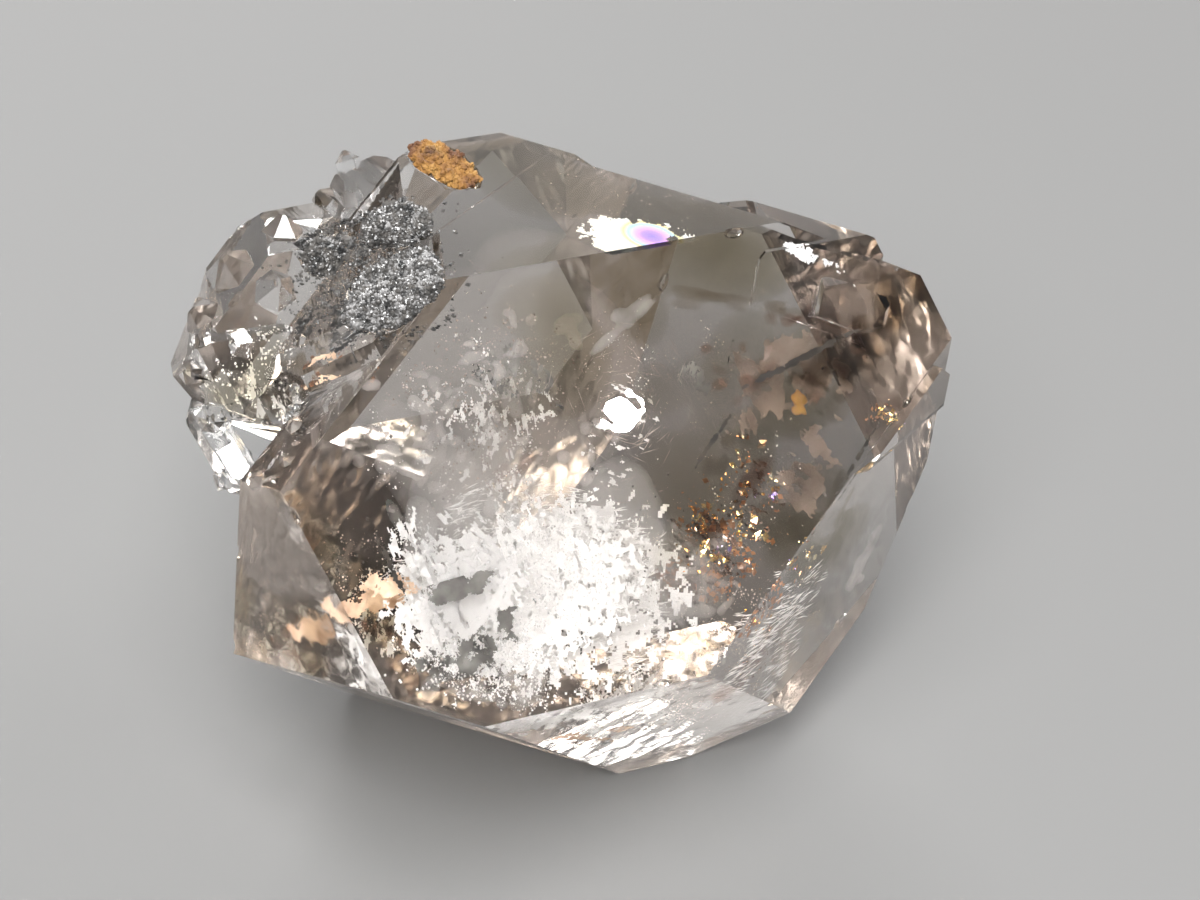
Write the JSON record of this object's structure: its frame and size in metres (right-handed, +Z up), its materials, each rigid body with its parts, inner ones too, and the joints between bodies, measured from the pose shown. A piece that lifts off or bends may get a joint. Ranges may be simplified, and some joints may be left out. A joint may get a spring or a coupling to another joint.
{
  "type": "herkimer diamond quartz specimen",
  "caption": "Free-standing smoky quartz crystal, doubly terminated, with smaller crystals grown into one side, a rusty crust and sooty druses.",
  "frame": {"origin": "under the middle of the specimen, on the surface that it rests on", "axes": "+Z up; +X to the right as seen from the front, along the longest side; the specimen is seen from the front looking along +Y"},
  "size_m": [0.0488, 0.0446, 0.038],
  "materials": {
    "quartz_crystal": "clear pinkish-brown smoky quartz with flat bright faces",
    "iron_crust": "rough rusty iron stain",
    "carbon_druse": "sparkling druse of tiny quartz crystals blackened by carbon"
  },
  "bodies": {
    "root": {"quartz_crystal": "quartz_crystal", "iron_crust": "iron_crust", "carbon_druse_large": "carbon_druse", "carbon_druse_upper": "carbon_druse", "carbon_druse_notch": "carbon_druse"}
  },
  "joints": []
}
